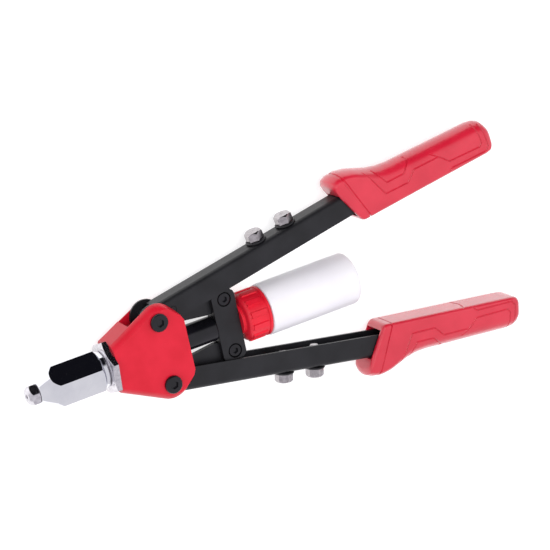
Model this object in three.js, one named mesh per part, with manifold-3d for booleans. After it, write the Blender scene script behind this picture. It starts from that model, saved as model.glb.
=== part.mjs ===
// Long-arm hand riveter with a collector bottle, in millimetres.
//
// X runs rearwards along the tool's axis, from the nosepiece to the grips. Y crosses it towards the
// upper arm, and Z is normal to the plane in which the arms swing. The parts are drawn about the point
// midway between the two arm pivots, and the finished tool is then moved so that its origin is under
// the middle of its bounding box, on the surface that it lies on.

import * as THREE from "three";
import { mergeVertices } from "three/addons/utils/BufferGeometryUtils.js";
import Module from "manifold-3d";

const wasm = await Module();
wasm.setup();

// Driving dimensions
const GAP = 0.3; // between touching pieces
const PIVOT_Y = 26; // each arm's pivot, from the tool's axis
const ARM_ANGLE = 10.9; // degrees between an arm and the axis at rest
const GRIP_BEND = 2.3; // degrees by which a grip leans in from its arm
const ROUND = 24; // sides of a round piece
const SMALL_ROUND = 14; // sides of a small one

// Nose, from front to back along X
const NOSE_TIP = -111.5;
const BARREL_FRONT = -102.5;
const CONE_END = -92.5;
const RING_FRONT = -52;
const NUT_FRONT = -46.9;
const HEAD_FRONT = -41;
const THREAD_END = -22;
const NOSEPIECE_AF = 15;
const BARREL_AF = 32;
const NUT_AF = 39.5;
const HEX_TURN = 12; // degrees from Y to a corner of each hexagon
const THREAD_R = 13.2;
const BARREL_BORE_R = 11;
const RIVET_BORE_R = 2.2;

// Head
const HEAD_HALF_Z = 16.5;
const HEAD_NOSE_Y = 19.7;
const HEAD_LOBE = [0.8, 24.6]; // centre of the rounded lobe round each pivot
const HEAD_LOBE_R = 14.9;
const HEAD_LOBE_END = 42; // degrees, where the lobe gives way to the straight shoulder behind it
const HEAD_SLOPE = 27.4; // degrees
const HEAD_REAR = 21;
const HEAD_SHOULDER_Y = 25;
const HEAD_BEVEL = 6; // in depth
const HEAD_BEVEL_IN = 5; // and inwards
const SLOT_HALF_Z = 10;
const SLOT_FRONT = -23;
const CORE_Y = 12.2; // half-width of the solid core between the two arm slots
const PIVOT_R = 4.9;
const PIVOT_HEAD_R = 7.25;
const PIVOT_HEAD_H = 2.85;

// Arms, along an arm's own length L from its pivot and outwards W across it
const WEB_W = 10.2; // outer face of the channel's web
const EDGE_W = -8.9; // free edges of its flanges
const EAR_R = 13.4; // round ears of the flanges about the pivot
const WEB_START = 4;
const CHANNEL_HALF_Z = 9.7;
const WALL = 2;
const CHANNEL_END = 212;
const BOLTS_L = [106.2, 134.8];
const BOLT_TIPS_W = [-6.5, -7.4];
const BOLT_R = 3.9;
const BOLT_AF = 13;
const BOLT_HEAD_H = 7;
const BAR_W = [1.8, 7.8];
const BAR_L = [94, 238];
const BAR_HALF_Z = 6;

// Links and the crosspiece that they push
const LINK_PIN_L = 17; // pin in the arm, from the arm's pivot
const LINK_PIN_R = 2.8;
const OPEN_PIN_R = 4.5; // the link's hole for that pin, left large
const LINK_HALF_Z = 2.3;
const YOKE_PIN = [61.5, 21.9];
const YOKE_SCREW_R = 2.9;
const YOKE_X = [50.6, 71];
const YOKE_HALF_Y = 29;
const YOKE_HALF_Z = 7.3;
const CLEVIS_Y = 11.8;

// Pull tube and jaws
const TUBE_R = 10.3;
const SPIGOT_R = 5.9;
const MANDREL_R = 1.9;
const JAW_CASE_X = [-80, -35.3];
const JAW_CASE_R = 10.6;
const JAW_CASE_BORE = 7.9;
const TUBE_FRONT = -47;
const JAW_X = [-78.5, -68];
const JAW_R = [3.4, 6.6];
const PUSHER_X = [-67.4, -60];
const SPRING_COILS = 4;
const SPRING_R = 5.6;
const SPRING_WIRE_R = 0.7;

// Collector bottle and its collar
const COLLAR_X = [73.5, 93.9];
const COLLAR_R = 20.6;
const COLLAR_RIBS = 12;
const RIB_HALF_WIDTH = 2.4;
const BOTTLE_X = [94.3, 177];
const BOTTLE_R = [21.4, 21.8];
const BOTTLE_WALL = 1.2;
const BOTTLE_MOUTH_X = 80;
const BOTTLE_MOUTH_R = 18.2;

const FINISHES = {
  chrome: { color: 0xccd0d6, roughness: 0.08, metalness: 1 },
  zinc: { color: 0xbfbfc6, roughness: 0.3, metalness: 1 },
  steel: { color: 0x8c8e92, roughness: 0.4, metalness: 1 },
  black_steel: { color: 0x2c2d31, roughness: 0.45, metalness: 0.5 },
  red_head: { color: 0xd8202f, roughness: 0.4, metalness: 0.1 },
  red_grip: { color: 0xdd2f45, roughness: 0.45, metalness: 0 },
  red_collar: { color: 0xdc1c28, roughness: 0.4, metalness: 0 },
  milky: { color: 0xf0eaf2, roughness: 0.35, metalness: 0, transparent: true, opacity: 0.6 },
};

const radians = THREE.MathUtils.degToRad;

// A closed three.js geometry as a solid whose faces point out.
function solid(geometry) {
  const bare = new THREE.BufferGeometry();
  bare.setAttribute("position", geometry.getAttribute("position"));
  if (geometry.index) bare.setIndex(geometry.index);
  const merged = mergeVertices(bare, 1e-4);
  const vertProperties = merged.getAttribute("position").array;
  const corners = [];
  const all = merged.index.array;
  for (let i = 0; i < all.length; i += 3) {
    const [a, b, c] = all.slice(i, i + 3);
    if (a !== b && b !== c && c !== a) corners.push(a, b, c);
  }
  const build = (list) =>
    new wasm.Manifold(new wasm.Mesh({ numProp: 3, vertProperties, triVerts: new Uint32Array(list) }));
  const made = build(corners);
  return made.volume() > 0 ? made : build(corners.reverse());
}

const outline = (points) => new THREE.Shape(points.map(([x, y]) => new THREE.Vector2(x, y)));

// An outline swept along Z between two heights.
function prism(shape, low, high) {
  const options = { depth: high - low, bevelEnabled: false, curveSegments: 6 };
  return solid(new THREE.ExtrudeGeometry(shape, options).translate(0, 0, low));
}

// The same with its long edges rounded off, by bevel in depth and inset inwards.
function roundedPrism(shape, halfHeight, bevel, segments, inset = bevel) {
  const options = {
    depth: 2 * (halfHeight - bevel),
    bevelThickness: bevel,
    bevelSize: inset,
    bevelOffset: -inset,
    bevelSegments: segments,
    curveSegments: 4,
  };
  return solid(new THREE.ExtrudeGeometry(shape, options).translate(0, 0, bevel - halfHeight));
}

const ALONG_X = new THREE.Matrix4().makeBasis(
  new THREE.Vector3(0, 1, 0),
  new THREE.Vector3(0, 0, 1),
  new THREE.Vector3(1, 0, 0),
);
const ALONG_Y = new THREE.Matrix4().makeBasis(
  new THREE.Vector3(0, 0, 1),
  new THREE.Vector3(1, 0, 0),
  new THREE.Vector3(0, 1, 0),
);

// An outline drawn in Y and Z, swept along X.
function prismX(shape, low, high) {
  const options = { depth: high - low, bevelEnabled: false, curveSegments: 3 };
  const geometry = new THREE.ExtrudeGeometry(shape, options).translate(0, 0, low);
  return solid(geometry.applyMatrix4(ALONG_X));
}

// A round bar along X, Y or Z, centred on two coordinates that are given in the order X, Y, Z.
function bar(axis, radius, low, high, centre = [0, 0], sides = ROUND) {
  const geometry = new THREE.CylinderGeometry(radius, radius, high - low, sides);
  geometry.translate(0, (low + high) / 2, 0);
  const [a, b] = centre;
  if (axis === "x") geometry.rotateZ(-Math.PI / 2).translate(0, a, b);
  if (axis === "y") geometry.translate(a, 0, b);
  if (axis === "z") geometry.rotateX(Math.PI / 2).translate(a, b, 0);
  return solid(geometry);
}

function box(x, y, z) {
  const [size, middle] = [1, 0.5].map((k) => [x, y, z].map(([a, b]) => (k === 1 ? b - a : k * (a + b))));
  return solid(new THREE.BoxGeometry(...size).translate(...middle));
}

// A profile of [x, radius] points turned about X.
function turned(profile, sides = ROUND) {
  const points = profile.map(([x, r]) => new THREE.Vector2(r, x));
  return solid(new THREE.LatheGeometry(points, sides).rotateZ(-Math.PI / 2));
}

function hexagon(acrossFlats, turn = 0) {
  const corner = acrossFlats / 2 / Math.cos(Math.PI / 6);
  const at = (i) => radians(turn + 60 * i);
  return outline([...Array(6).keys()].map((i) => [corner * Math.cos(at(i)), corner * Math.sin(at(i))]));
}

// A hexagon bar along Y with its corners turned off at the far end.
function hexAlongY(acrossFlats, near, far, chamfer) {
  const options = { depth: Math.abs(far - near), bevelEnabled: false };
  const blank = new THREE.ExtrudeGeometry(hexagon(acrossFlats), options);
  blank.translate(0, 0, Math.min(near, far)).applyMatrix4(ALONG_Y);
  const corner = acrossFlats / 2 / Math.cos(Math.PI / 6);
  const step = Math.sign(far - near) * chamfer;
  const profile = [[0, near], [corner + GAP, near], [corner + GAP, far - step], [acrossFlats / 2 - GAP, far], [0, far]];
  const points = profile.map(([r, y]) => new THREE.Vector2(r, y));
  return solid(blank).intersect(solid(new THREE.LatheGeometry(points, ROUND)));
}

// The point at length L along an arm and W across it, in the tool's own X and Y, on the upper side.
function armPoint(l, w, angle = ARM_ANGLE) {
  const a = radians(angle);
  return [l * Math.cos(a) - w * Math.sin(a), PIVOT_Y + l * Math.sin(a) + w * Math.cos(a)];
}

function piece(name, made, finish) {
  const mesh = made.getMesh();
  const geometry = new THREE.BufferGeometry();
  geometry.setAttribute("position", new THREE.BufferAttribute(mesh.vertProperties, 3));
  geometry.setIndex(new THREE.BufferAttribute(mesh.triVerts, 1));
  const flat = geometry.toNonIndexed();
  flat.computeVertexNormals();
  const node = new THREE.Mesh(flat, new THREE.MeshStandardMaterial(FINISHES[finish]));
  node.name = name;
  return node;
}

// Nose: nosepiece, hexagonal barrel and its lock nut.

function nosepiece() {
  const corner = NOSEPIECE_AF / 2 / Math.cos(Math.PI / 6);
  const collar = prismX(hexagon(NOSEPIECE_AF, HEX_TURN), NOSE_TIP, BARREL_FRONT - GAP);
  const chamfer = turned([
    [NOSE_TIP, 0],
    [NOSE_TIP, 5.4],
    [NOSE_TIP + 3.2, corner],
    [BARREL_FRONT, corner],
    [BARREL_FRONT, 0],
  ]);
  const stem = bar("x", 6, BARREL_FRONT - 1, CONE_END - GAP);
  return collar.intersect(chamfer).add(stem).subtract(bar("x", RIVET_BORE_R, NOSE_TIP - 1, CONE_END + 1));
}

function barrel() {
  const corner = BARREL_AF / 2 / Math.cos(Math.PI / 6);
  const hex = prismX(hexagon(BARREL_AF, HEX_TURN), BARREL_FRONT, RING_FRONT);
  const cone = turned([
    [BARREL_FRONT, 0],
    [BARREL_FRONT, 8.6],
    [CONE_END, BARREL_AF / 2 + 0.6],
    [CONE_END + 4, corner],
    [RING_FRONT - 1.6, corner],
    [RING_FRONT, BARREL_AF / 2],
    [RING_FRONT, 0],
  ]);
  const ring = bar("x", 15, RING_FRONT - 1, NUT_FRONT - GAP);
  const thread = bar("x", THREAD_R, NUT_FRONT - 1, THREAD_END);
  return hex
    .intersect(cone)
    .add(ring)
    .add(thread)
    .subtract(bar("x", BARREL_BORE_R, CONE_END, THREAD_END + 1))
    .subtract(bar("x", 6 + GAP, BARREL_FRONT - 1, CONE_END + 1));
}

function lockNut() {
  const corner = NUT_AF / 2 / Math.cos(Math.PI / 6);
  const chamfer = turned([
    [NUT_FRONT, 0],
    [NUT_FRONT, NUT_AF / 2 - 0.4],
    [NUT_FRONT + 1.8, corner],
    [HEAD_FRONT - GAP, corner],
    [HEAD_FRONT - GAP, 0],
  ]);
  return prismX(hexagon(NUT_AF, HEX_TURN), NUT_FRONT, HEAD_FRONT - GAP)
    .intersect(chamfer)
    .subtract(bar("x", THREAD_R + GAP, NUT_FRONT - 1, HEAD_FRONT + 1));
}

// Head: one casting that holds the barrel and both arm pivots, slotted on each side for the arms.

const HEAD_OVERRUN = 10; // the outline runs on past both ends, which are then cut off square

function headOutline() {
  const slope = radians(HEAD_SLOPE);
  const [x, y] = HEAD_LOBE;
  const front = [HEAD_FRONT - HEAD_OVERRUN, HEAD_NOSE_Y - HEAD_OVERRUN * Math.tan(slope)];
  const rear = HEAD_REAR + HEAD_OVERRUN;
  const shape = new THREE.Shape();
  shape.moveTo(...front);
  shape.absarc(x, y, HEAD_LOBE_R, Math.PI / 2 + slope, radians(HEAD_LOBE_END), true);
  shape.lineTo(HEAD_REAR, HEAD_SHOULDER_Y);
  shape.lineTo(rear, HEAD_SHOULDER_Y - HEAD_OVERRUN);
  shape.lineTo(rear, HEAD_OVERRUN - HEAD_SHOULDER_Y);
  shape.lineTo(HEAD_REAR, -HEAD_SHOULDER_Y);
  shape.absarc(x, -y, HEAD_LOBE_R, -radians(HEAD_LOBE_END), -Math.PI / 2 - slope, true);
  shape.lineTo(front[0], -front[1]);
  return shape;
}

function armSlot(side) {
  const reach = PIVOT_Y + 3 * HEAD_LOBE_R;
  const mouthY = HEAD_NOSE_Y + (SLOT_FRONT - HEAD_FRONT) * Math.tan(radians(HEAD_SLOPE));
  const points = [
    [SLOT_FRONT, reach],
    [SLOT_FRONT, mouthY],
    [SLOT_FRONT + 10, CORE_Y],
    [HEAD_REAR + 1, CORE_Y],
    [HEAD_REAR + 1, reach],
  ];
  return prism(outline(points.map(([x, y]) => [x, side * y])), -SLOT_HALF_Z, SLOT_HALF_Z);
}

function headBody() {
  const beyond = 4 * HEAD_LOBE_R; // clear of the casting on every side
  let body = roundedPrism(headOutline(), HEAD_HALF_Z, HEAD_BEVEL, 2, HEAD_BEVEL_IN);
  body = body.intersect(box([HEAD_FRONT, HEAD_REAR], [-beyond, beyond], [-beyond, beyond]));
  body = body.subtract(bar("x", THREAD_R + GAP, HEAD_FRONT - 1, THREAD_END + GAP));
  body = body.subtract(bar("x", TUBE_R + 0.4, THREAD_END, HEAD_REAR + 1));
  for (const side of [1, -1]) {
    body = body.subtract(armSlot(side));
    body = body.subtract(bar("z", PIVOT_R + GAP, -HEAD_HALF_Z - 1, HEAD_HALF_Z + 1, [0, side * PIVOT_Y]));
  }
  return body;
}

function pivotBolt() {
  const face = HEAD_HALF_Z + GAP;
  const head = bar("z", PIVOT_HEAD_R, face, face + PIVOT_HEAD_H, [0, PIVOT_Y]);
  const shank = bar("z", PIVOT_R, -face - PIVOT_HEAD_H + GAP, face + 1, [0, PIVOT_Y]);
  const socket = prism(hexagon(6), face + 1, face + PIVOT_HEAD_H + 1).translate([0, PIVOT_Y, 0]);
  return head.add(shank).subtract(socket);
}

function pivotNut() {
  const face = HEAD_HALF_Z + GAP;
  return prism(hexagon(14), -face - PIVOT_HEAD_H, -face)
    .translate([0, PIVOT_Y, 0])
    .subtract(bar("z", PIVOT_R + GAP, -30, 0, [0, PIVOT_Y]));
}

// Arm: a pressed channel with its free edges inwards, drawn with its pivot at the origin.

function channel() {
  const [outer, inner] = [4.4, 2.4]; // bend radii of the pressed corners
  const section = (half, top, radius, bottom) => {
    const shape = new THREE.Shape();
    shape.moveTo(bottom, -half);
    shape.lineTo(top - radius, -half);
    shape.absarc(top - radius, radius - half, radius, -Math.PI / 2, 0, false);
    shape.absarc(top - radius, half - radius, radius, 0, Math.PI / 2, false);
    shape.lineTo(bottom, half);
    return shape;
  };
  const skin = prismX(section(CHANNEL_HALF_Z, WEB_W, outer, EDGE_W), WEB_START, CHANNEL_END);
  const hollow = prismX(section(CHANNEL_HALF_Z - WALL, WEB_W - WALL, inner, EDGE_W - 1), 0, CHANNEL_END + 1);
  const ear = (low) => bar("z", EAR_R, low, low + WALL);
  let made = skin.subtract(hollow).add(ear(-CHANNEL_HALF_Z)).add(ear(CHANNEL_HALF_Z - WALL));
  made = made.subtract(bar("z", PIVOT_R + GAP, -20, 20));
  made = made.subtract(bar("z", LINK_PIN_R + GAP, -20, 20, [LINK_PIN_L, 0], SMALL_ROUND));
  for (const l of BOLTS_L) made = made.subtract(bar("y", BOLT_R + GAP, 0, 20, [l, 0], SMALL_ROUND));
  return made;
}

function pivotBush() {
  const half = CHANNEL_HALF_Z - WALL - GAP;
  return bar("z", 7, -half, half).subtract(bar("z", PIVOT_R + GAP, -20, 20));
}

const linkPin = () => bar("z", LINK_PIN_R, -CHANNEL_HALF_Z, CHANNEL_HALF_Z, [LINK_PIN_L, 0], SMALL_ROUND);

function innerBar() {
  let made = box(BAR_L, BAR_W, [-BAR_HALF_Z, BAR_HALF_Z]);
  for (const l of BOLTS_L) made = made.subtract(bar("y", BOLT_R + GAP, 0, 20, [l, 0], SMALL_ROUND));
  return made;
}

const washer = (l) =>
  bar("y", 8.5, WEB_W + GAP, WEB_W + 2, [l, 0]).subtract(bar("y", BOLT_R + GAP, 0, 20, [l, 0], SMALL_ROUND));

function armBolt(l, tip) {
  const seat = WEB_W + 2 + GAP;
  const head = hexAlongY(BOLT_AF, seat, seat + BOLT_HEAD_H, 1.2).translate([l, 0, 0]);
  return head.add(bar("y", BOLT_R, tip, seat + 1, [l, 0], SMALL_ROUND));
}

function armNut(l) {
  const top = BAR_W[0] - GAP;
  const nut = hexAlongY(BOLT_AF, top, top - 6.4, 1).translate([l, 0, 0]);
  return nut.subtract(bar("y", BOLT_R + GAP, -20, 20, [l, 0], SMALL_ROUND));
}

// Grip: its side outline in the grip's own frame, which leans in from the arm's.

function gripOutline() {
  const inner = -9.7;
  const shape = new THREE.Shape();
  shape.moveTo(194.5, inner);
  shape.lineTo(177, 27);
  shape.quadraticCurveTo(178, 34.5, 188, 35);
  shape.quadraticCurveTo(198, 35, 206, 29);
  shape.quadraticCurveTo(216, 22.5, 232, 21.5);
  shape.lineTo(320, 19);
  shape.quadraticCurveTo(331, 18, 331, 7);
  shape.lineTo(331, -2);
  shape.quadraticCurveTo(331, inner, 323, inner);
  return shape;
}

function grip() {
  const body = roundedPrism(gripOutline(), 13.6, 4, 3).rotate([0, 0, -GRIP_BEND]);
  const mouth = box([160, 200], [-12.2, WEB_W + 0.5], [-CHANNEL_HALF_Z - 0.5, CHANNEL_HALF_Z + 0.5]);
  const socket = box(
    [199, CHANNEL_END + 1],
    [EDGE_W - 0.5, WEB_W + 0.5],
    [-CHANNEL_HALF_Z - 0.5, CHANNEL_HALF_Z + 0.5],
  );
  const tang = box([CHANNEL_END, BAR_L[1] + 1], BAR_W.map((w, i) => w + (i ? 0.4 : -0.4)), [
    -BAR_HALF_Z - 0.4,
    BAR_HALF_Z + 0.4,
  ]);
  return body.subtract(mouth).subtract(socket).subtract(tang);
}

// Link: a plate from the pin in the arm to the screw in the crosspiece, bowed in towards the axis.

function linkOutline() {
  const [sx, sy] = YOKE_PIN;
  const [qx, qy] = armPoint(LINK_PIN_L, 0);
  const length = Math.hypot(qx - sx, qy - sy);
  const along = [(qx - sx) / length, (qy - sy) / length];
  const inwards = [-along[1], along[0]];
  const at = (u, v) => [sx + u * along[0] + v * inwards[0], sy + u * along[1] + v * inwards[1]];
  const arc = (u, radius, from, to) =>
    [...Array(7).keys()].map((i) => {
      const a = radians(from + ((to - from) * i) / 6);
      return at(u + radius * Math.cos(a), radius * Math.sin(a));
    });
  return outline([
    ...arc(0, 7.5, 90, 270),
    ...arc(length, 7.4, -90, 60),
    at(length - 8, 12.8),
    at(12.3, 11.9),
  ]);
}

function link() {
  const [qx, qy] = armPoint(LINK_PIN_L, 0);
  return prism(linkOutline(), -LINK_HALF_Z, LINK_HALF_Z)
    .subtract(bar("z", YOKE_SCREW_R + GAP, -20, 20, YOKE_PIN, SMALL_ROUND))
    .subtract(bar("z", OPEN_PIN_R, -20, 20, [qx, qy], SMALL_ROUND));
}

// Crosspiece: a block across the pull tube, with a clevis at each end for a link.

function crosspiece() {
  const [front, rear] = YOKE_X;
  const [sx, sy] = YOKE_PIN;
  const corner = 5;
  const shape = new THREE.Shape();
  shape.moveTo(front, corner - YOKE_HALF_Y);
  shape.absarc(front + corner, corner - YOKE_HALF_Y, corner, Math.PI, 1.5 * Math.PI, false);
  shape.absarc(rear - corner, corner - YOKE_HALF_Y, corner, -Math.PI / 2, 0, false);
  shape.absarc(rear - corner, YOKE_HALF_Y - corner, corner, 0, Math.PI / 2, false);
  shape.absarc(front + corner, YOKE_HALF_Y - corner, corner, Math.PI / 2, Math.PI, false);
  let made = roundedPrism(shape, YOKE_HALF_Z, 0.8, 1);
  made = made.subtract(bar("x", SPIGOT_R + GAP, front - 1, rear + 1));
  for (const side of [1, -1]) {
    const ends = [CLEVIS_Y, YOKE_HALF_Y + 1].map((y) => side * y).sort((a, b) => a - b);
    const slot = LINK_HALF_Z + GAP;
    made = made.subtract(box([front - 1, rear + 1], ends, [-slot, slot]));
    made = made.subtract(bar("z", YOKE_SCREW_R + GAP, GAP - YOKE_HALF_Z - 1, 20, [sx, side * sy], SMALL_ROUND));
    made = made.subtract(bar("z", 5.6, YOKE_HALF_Z - 3.2, 20, [sx, side * sy]));
  }
  return made;
}

function yokeScrew() {
  const seat = YOKE_HALF_Z - 3.2 + GAP;
  const head = bar("z", 5.2, seat, YOKE_HALF_Z, YOKE_PIN);
  const socket = prism(hexagon(4.6), seat + 1, YOKE_HALF_Z + 1).translate([...YOKE_PIN, 0]);
  return head.add(bar("z", YOKE_SCREW_R, 0.4 - YOKE_HALF_Z, seat + 1, YOKE_PIN, SMALL_ROUND)).subtract(socket);
}

// Pull tube, jaw case, jaws, pusher and spring, all on the tool's axis.

function pullTube() {
  return turned([
    [TUBE_FRONT, MANDREL_R],
    [TUBE_FRONT, JAW_CASE_BORE - GAP],
    [JAW_CASE_X[1] + GAP, JAW_CASE_BORE - GAP],
    [JAW_CASE_X[1] + GAP, TUBE_R],
    [YOKE_X[0] - GAP, TUBE_R],
    [YOKE_X[0] - GAP, SPIGOT_R],
    [COLLAR_X[0] + 3, SPIGOT_R],
    [COLLAR_X[0] + 3, MANDREL_R],
    [TUBE_FRONT, MANDREL_R],
  ]);
}

// Radius of the jaws' cone at a place along X.
const jawRadius = (x) =>
  JAW_R[0] + ((JAW_R[1] - JAW_R[0]) * (x - JAW_X[0])) / (JAW_X[1] - JAW_X[0]);

function jawCase() {
  const [front, rear] = JAW_CASE_X;
  return turned([
    [front, jawRadius(front) + 0.4],
    [front, JAW_CASE_R - 1.2],
    [front + 1.2, JAW_CASE_R],
    [rear, JAW_CASE_R],
    [rear, JAW_CASE_BORE],
    [JAW_X[1] + 2, JAW_CASE_BORE],
    [JAW_X[1], jawRadius(JAW_X[1]) + 0.4],
    [front, jawRadius(front) + 0.4],
  ]);
}

function jaw(side) {
  const cone = turned([
    [JAW_X[0], 0],
    [JAW_X[0], JAW_R[0]],
    [JAW_X[1], JAW_R[1]],
    [JAW_X[1], 0],
  ]);
  const half = [0.4, 20].map((y) => side * y).sort((a, b) => a - b);
  return cone
    .intersect(box([-100, 0], half, [-20, 20]))
    .subtract(bar("x", 1.4, -100, 0, [0, 0], SMALL_ROUND));
}

function jawPusher() {
  const [front, rear] = PUSHER_X;
  return turned([
    [front, 2.4],
    [front, 4.6],
    [front + 2.6, JAW_CASE_BORE - 0.4],
    [rear, JAW_CASE_BORE - 0.4],
    [rear, 2.4],
    [front, 2.4],
  ]);
}

function jawSpring() {
  const low = PUSHER_X[1] + SPRING_WIRE_R + GAP;
  const high = TUBE_FRONT - SPRING_WIRE_R - GAP;
  class Helix extends THREE.Curve {
    getPoint(t) {
      const a = 2 * Math.PI * SPRING_COILS * t;
      return new THREE.Vector3(low + (high - low) * t, SPRING_R * Math.cos(a), SPRING_R * Math.sin(a));
    }
  }
  const wire = new THREE.Shape().absarc(0, 0, SPRING_WIRE_R, 0, 2 * Math.PI, false);
  const options = { steps: 10 * SPRING_COILS, curveSegments: 2, bevelEnabled: false, extrudePath: new Helix() };
  return solid(new THREE.ExtrudeGeometry(wire, options));
}

// Collector: ribbed collar on the pull tube's rear end, and the bottle that screws into it.

function bottleCollar() {
  const [front, rear] = COLLAR_X;
  const base = COLLAR_R - 0.8;
  const body = turned([
    [YOKE_X[1] + GAP, SPIGOT_R + GAP],
    [YOKE_X[1] + GAP, 12.6],
    [front, 12.6],
    [front, base - 2.2],
    [front + 2.2, base],
    [rear - 2.5, base],
    [rear - 2.5, COLLAR_R],
    [rear, COLLAR_R],
    [rear, BOTTLE_MOUTH_R + GAP],
    [BOTTLE_MOUTH_X - 1.5, BOTTLE_MOUTH_R + GAP],
    [BOTTLE_MOUTH_X - 1.5, SPIGOT_R + GAP],
    [YOKE_X[1] + GAP, SPIGOT_R + GAP],
  ], 36);
  const rib = box([front + 2.4, rear - 1], [base - 1, COLLAR_R - 0.1], [-RIB_HALF_WIDTH, RIB_HALF_WIDTH]);
  return [...Array(COLLAR_RIBS).keys()].reduce(
    (made, i) => made.add(rib.rotate([(360 * i) / COLLAR_RIBS, 0, 0])),
    body,
  );
}

function bottle() {
  const [front, rear] = BOTTLE_X;
  const [rFront, rRear] = BOTTLE_R;
  const end = 4; // radius of the rounded far edge
  const rounded = (radius, x, r) =>
    [0, 22.5, 45, 67.5, 90].map((a) => [
      x - radius + radius * Math.sin(radians(a)),
      r - radius + radius * Math.cos(radians(a)),
    ]);
  return turned([
    [BOTTLE_MOUTH_X, BOTTLE_MOUTH_R - BOTTLE_WALL],
    [BOTTLE_MOUTH_X, BOTTLE_MOUTH_R],
    [front, BOTTLE_MOUTH_R],
    [front, rFront - 0.5],
    [front + 1, rFront],
    ...rounded(end, rear, rRear),
    [rear, 0],
    [rear - BOTTLE_WALL, 0],
    ...rounded(end - BOTTLE_WALL, rear - BOTTLE_WALL, rRear - BOTTLE_WALL).reverse(),
    [front + 3, rFront - BOTTLE_WALL],
    [front + 1, BOTTLE_MOUTH_R - BOTTLE_WALL],
    [BOTTLE_MOUTH_X, BOTTLE_MOUTH_R - BOTTLE_WALL],
  ], 32);
}

// Assembly

const tool = new THREE.Group();

tool.add(
  piece("nosepiece", nosepiece(), "chrome"),
  piece("barrel", barrel(), "chrome"),
  piece("lock_nut", lockNut(), "zinc"),
  piece("head_body", headBody(), "red_head"),
  piece("crosspiece", crosspiece(), "black_steel"),
  piece("pull_tube", pullTube(), "black_steel"),
  piece("jaw_case", jawCase(), "steel"),
  piece("jaw_a", jaw(1), "steel"),
  piece("jaw_b", jaw(-1), "steel"),
  piece("jaw_pusher", jawPusher(), "steel"),
  piece("jaw_spring", jawSpring(), "steel"),
  piece("bottle_collar", bottleCollar(), "red_collar"),
  piece("bottle", bottle(), "milky"),
);

// The lower half mirrors the upper one in Y.
for (const [name, side] of [["upper", 1], ["lower", -1]]) {
  const half = new THREE.Group();
  half.scale.y = side;
  half.add(
    piece(`${name}_pivot_bolt`, pivotBolt(), "black_steel"),
    piece(`${name}_pivot_nut`, pivotNut(), "black_steel"),
    piece(`${name}_link`, link(), "black_steel"),
    piece(`${name}_yoke_screw`, yokeScrew(), "black_steel"),
  );
  const arm = new THREE.Group();
  arm.position.set(0, PIVOT_Y, 0);
  arm.rotation.z = radians(ARM_ANGLE);
  arm.add(
    piece(`${name}_arm_channel`, channel(), "black_steel"),
    piece(`${name}_pivot_bush`, pivotBush(), "steel"),
    piece(`${name}_link_pin`, linkPin(), "steel"),
    piece(`${name}_inner_bar`, innerBar(), "black_steel"),
    piece(`${name}_grip`, grip(), "red_grip"),
  );
  BOLTS_L.forEach((l, i) => {
    const place = ["front", "rear"][i];
    arm.add(
      piece(`${name}_${place}_bolt`, armBolt(l, BOLT_TIPS_W[i]), "zinc"),
      piece(`${name}_${place}_washer`, washer(l), "black_steel"),
      piece(`${name}_${place}_nut`, armNut(l), "zinc"),
    );
  });
  half.add(arm);
  tool.add(half);
}

const bounds = new THREE.Box3().setFromObject(tool, true);
tool.position.set(-(bounds.min.x + bounds.max.x) / 2, 0, -bounds.min.z);

const riveter = new THREE.Group();
riveter.add(tool);

export default riveter;
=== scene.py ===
# The hand riveter's looks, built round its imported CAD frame.
#
# Sizes are in millimetres in the tool's own frame, as in the part: X runs rearwards along the tool's
# axis, Y towards the upper arm, Z normal to the plane in which the arms swing, with the zero point
# midway between the two arm pivots. place() turns them into metres in the row frame.
#
# Apart from softer edges, the looks leave the part in these places:
# - the head is whole here, while the part's head lacks its upper front corner, by a fault in its outline;
# - the head's far cheek is trimmed;
# - the grips, which are rounded boxes in the part, have a half-round outer side and a crowned flange;
# - the grips have no socket for the inner bar beyond the channel's end, so it runs into them unseen;
# - the collar's ribs are turned by half their spacing, and taper a little.

import math

import bmesh
import bpy
from mathutils import Matrix, Vector

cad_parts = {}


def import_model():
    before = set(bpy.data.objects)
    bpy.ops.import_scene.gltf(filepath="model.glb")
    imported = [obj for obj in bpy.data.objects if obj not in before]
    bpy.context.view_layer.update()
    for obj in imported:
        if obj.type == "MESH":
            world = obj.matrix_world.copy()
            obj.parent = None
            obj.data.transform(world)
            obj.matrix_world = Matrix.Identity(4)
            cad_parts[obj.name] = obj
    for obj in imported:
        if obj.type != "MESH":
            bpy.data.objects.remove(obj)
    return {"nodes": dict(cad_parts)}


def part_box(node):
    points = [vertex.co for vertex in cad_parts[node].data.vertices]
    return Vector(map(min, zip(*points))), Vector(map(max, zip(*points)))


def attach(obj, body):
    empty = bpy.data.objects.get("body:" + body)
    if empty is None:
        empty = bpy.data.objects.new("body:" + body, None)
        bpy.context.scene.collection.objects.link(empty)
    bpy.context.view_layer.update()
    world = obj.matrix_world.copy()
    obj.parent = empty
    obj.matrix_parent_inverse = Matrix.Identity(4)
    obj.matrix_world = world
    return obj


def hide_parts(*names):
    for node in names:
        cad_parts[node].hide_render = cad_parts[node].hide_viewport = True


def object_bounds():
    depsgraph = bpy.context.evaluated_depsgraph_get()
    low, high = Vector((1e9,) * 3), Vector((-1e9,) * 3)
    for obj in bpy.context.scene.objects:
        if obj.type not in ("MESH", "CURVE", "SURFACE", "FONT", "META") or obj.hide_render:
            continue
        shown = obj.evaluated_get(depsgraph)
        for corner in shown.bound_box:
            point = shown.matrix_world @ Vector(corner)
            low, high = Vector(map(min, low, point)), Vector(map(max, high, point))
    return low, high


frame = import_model()
CAD_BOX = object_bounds()

# ---------------------------------------------------------------- driving dimensions
PIVOT_Y = 26.0
ARM_ANGLE = math.radians(10.9)
GRIP_ANGLE = math.radians(10.9 - 2.3)

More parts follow.
